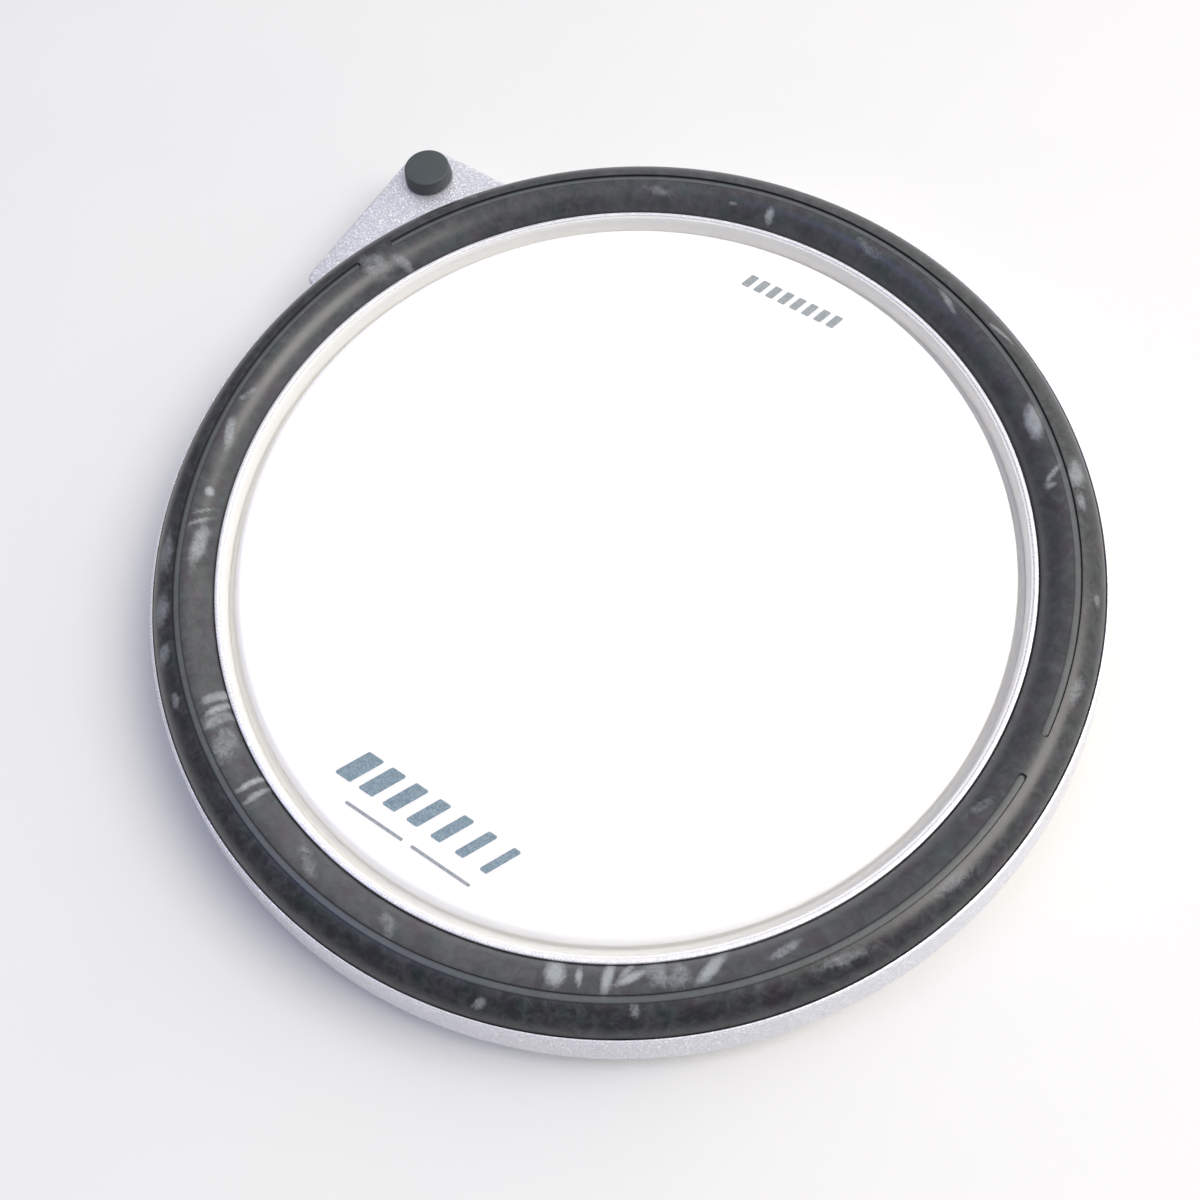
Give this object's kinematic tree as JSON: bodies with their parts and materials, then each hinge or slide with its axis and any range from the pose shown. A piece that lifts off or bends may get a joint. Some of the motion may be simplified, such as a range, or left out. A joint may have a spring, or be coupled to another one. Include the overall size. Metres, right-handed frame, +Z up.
{
  "type": "electronic drum pad",
  "caption": "Low round electronic drum pad: white cushioned head in a moat, grooved black rubber rim, silver casing whose corner tab carries a control knob and a plug socket.",
  "frame": {"origin": "on the round pad's axis, on the surface that the feet rest on", "axes": "+Z up out of the playing head; +Y away from the player; +X to the player's right, so the knob's tab is at -X +Y"},
  "size_m": [0.288, 0.288, 0.0313],
  "materials": {
    "sparkle_shell": "silver metal-flake lacquer on moulded ABS",
    "cover_plastic": "fine-textured black ABS",
    "foot_rubber": "matte black rubber",
    "screw_steel": "zinc-plated steel",
    "insert_brass": "turned brass",
    "rim_rubber": "matte charcoal rubber with scuffs",
    "spring_steel": "blued spring steel",
    "ring_steel": "zinc-plated steel sheet",
    "dark_foam": "closed-cell foam",
    "switch_film": "printed polyester film",
    "head_skin": "matte white silicone",
    "surround_skin": "satin off-white silicone",
    "head_foam": "grey closed-cell foam",
    "plate_steel": "zinc-plated steel sheet",
    "isolator_rubber": "soft black rubber",
    "sensor_brass": "rolled brass",
    "sensor_ceramic": "silvered ceramic",
    "knob_plastic": "satin charcoal ABS",
    "pot_plastic": "moulded phenolic",
    "shaft_aluminium": "turned aluminium",
    "nut_nickel": "nickel-plated brass",
    "contact_brass": "tinned brass",
    "jack_plastic": "black nylon",
    "board_green": "solder-masked glass laminate",
    "connector_nylon": "natural nylon",
    "part_lacquer": "lacquered component body",
    "lead_red": "PVC insulation",
    "lead_grey": "PVC insulation",
    "lead_yellow": "PVC insulation",
    "lead_orange": "PVC insulation"
  },
  "bodies": {
    "base": {"upper_casing": "sparkle_shell", "bottom_cover": "cover_plastic", "rubber_feet": "foot_rubber", "cover_screws": "screw_steel", "mount_inserts": "insert_brass", "rim_backing_ring": "ring_steel", "rim_cushions": "dark_foam", "rim_switch_near": "switch_film", "rim_switch_far": "switch_film", "head_surround": "surround_skin", "head_isolators": "isolator_rubber", "pot_body": "pot_plastic", "pot_nut": "nut_nickel", "pot_washer": "nut_nickel", "pot_terminals": "contact_brass", "jack_body": "jack_plastic", "jack_nose": "nut_nickel", "jack_contacts": "contact_brass", "circuit_board": "board_green", "board_screws": "screw_steel", "board_connectors": "connector_nylon", "board_parts": "part_lacquer", "sensor_lead": "lead_red", "near_rim_lead": "lead_grey", "far_rim_lead": "lead_grey", "knob_lead": "lead_yellow", "jack_lead": "lead_orange", "lead_clips": "connector_nylon"},
    "head": {"playing_head": "head_skin", "head_foam": "head_foam", "head_plate": "plate_steel", "head_screws": "screw_steel", "sensor_cushion": "dark_foam", "sensor_disc": "sensor_brass", "sensor_ceramic": "sensor_ceramic"},
    "rim": {"rim_rubber": "rim_rubber", "rim_clips": "spring_steel"},
    "knob": {"control_knob": "knob_plastic", "pot_shaft": "shaft_aluminium"}
  },
  "joints": [
    {"name": "head_press", "type": "slide", "parent": "base", "child": "head", "axis": [0, 0, 1], "range_m": [-0.001, 0], "stiffness_N_per_m": 20000, "springref_m": 0.0015, "deforming": ["head_isolators"]},
    {"name": "rim_press", "type": "slide", "parent": "base", "child": "rim", "axis": [0, 0, 1], "range_m": [-0.0005, 0], "stiffness_N_per_m": 30000, "springref_m": 0.001, "deforming": ["rim_cushions"]},
    {"name": "knob_turn", "type": "hinge", "parent": "base", "child": "knob", "pos_m": [-0.1328, 0.0833, 0.0226], "axis": [0, 0, 1], "range_deg": [-150, 150]}
  ]
}
